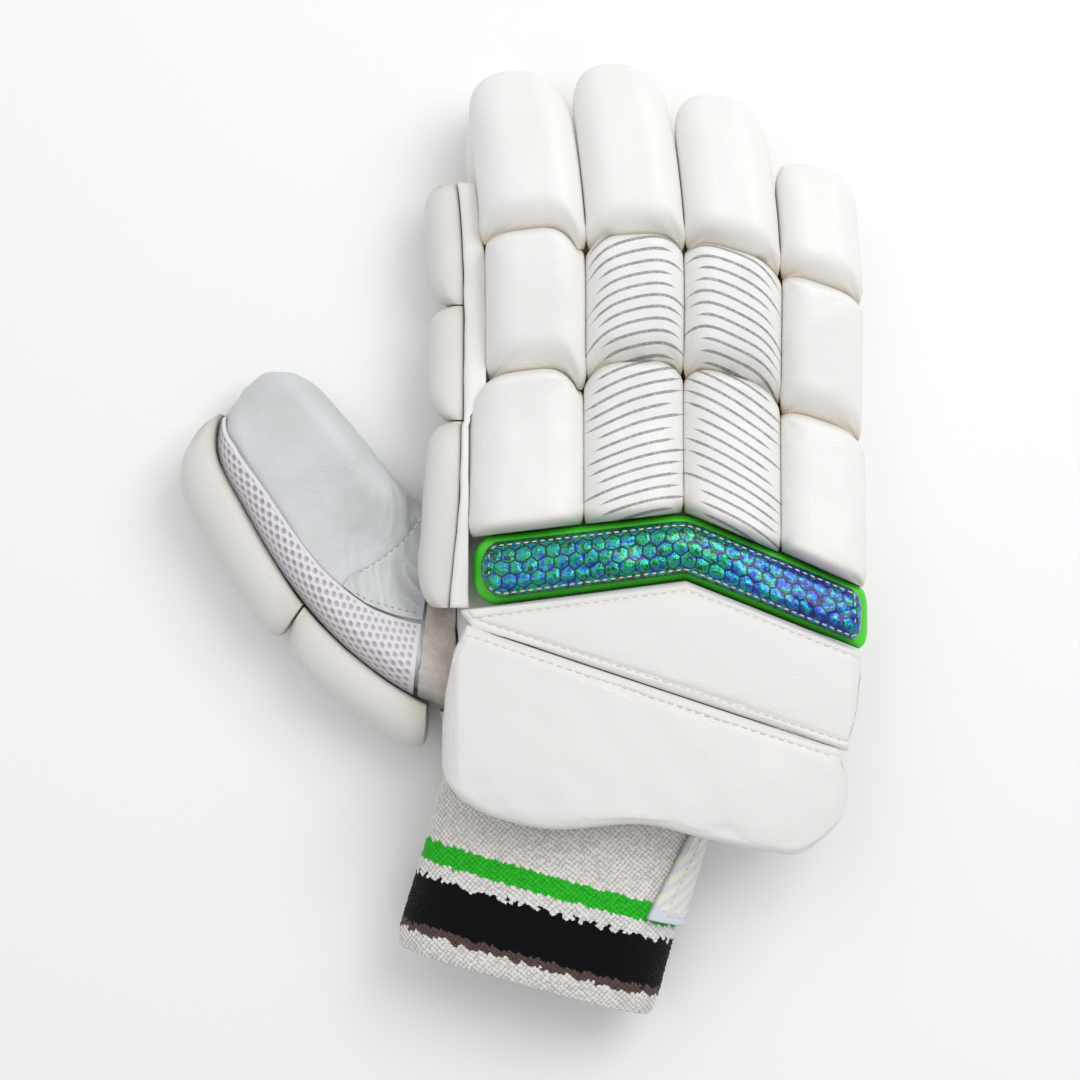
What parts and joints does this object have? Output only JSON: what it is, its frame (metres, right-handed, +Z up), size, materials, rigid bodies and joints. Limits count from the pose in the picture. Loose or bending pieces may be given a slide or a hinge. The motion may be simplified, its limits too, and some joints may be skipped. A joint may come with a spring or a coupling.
{
  "type": "cricket batting glove, right hand",
  "caption": "Right-hand cricket batting glove with padded finger rolls, a chevron knuckle band, wrist blocks, a padded thumb and a striped knitted cuff.",
  "frame": {"origin": "on the flat underside of the palm, midway across the hand below the finger roots", "axes": "+Y to the fingertips, -X to the thumb, +Z up out of the back of the hand"},
  "size_m": [0.2453, 0.3369, 0.0584],
  "materials": {
    "leather": "soft satin, fine grain",
    "grey_leather": "matte, soft, lightly wrinkled",
    "green_binding": "satin",
    "foil": "iridescent foil with an embossed scale pattern",
    "air_mesh": "open spacer mesh",
    "felt": "brushed felt",
    "knit": "knitted towelling with woven-in stripes",
    "strap_film": "satin, with stitched border"
  },
  "bodies": {
    "root": {"palm_shell": "leather", "index_sleeve": "leather", "middle_sleeve": "leather", "ring_sleeve": "leather", "little_sleeve": "leather", "index_base_roll": "leather", "index_mid_roll": "leather", "index_tip_roll": "leather", "middle_base_roll": "leather", "middle_mid_roll": "leather", "middle_tip_roll": "leather", "ring_base_roll": "leather", "ring_mid_roll": "leather", "ring_tip_roll": "leather", "little_base_roll": "leather", "little_mid_roll": "leather", "little_tip_roll": "leather", "side_strip": "leather", "side_pad_base": "leather", "side_pad_mid": "leather", "side_pad_tip": "leather", "knuckle_binding": "green_binding", "knuckle_panel": "foil", "wrist_block_upper": "leather", "wrist_block_lower": "leather", "thumb_sleeve": "grey_leather", "thumb_pad_base": "leather", "thumb_pad_tip": "leather", "thumb_mesh": "air_mesh", "web_gusset": "grey_leather", "thumb_felt": "felt", "wrist_felt": "felt", "cuff": "knit", "strap": "strap_film"}
  },
  "joints": []
}
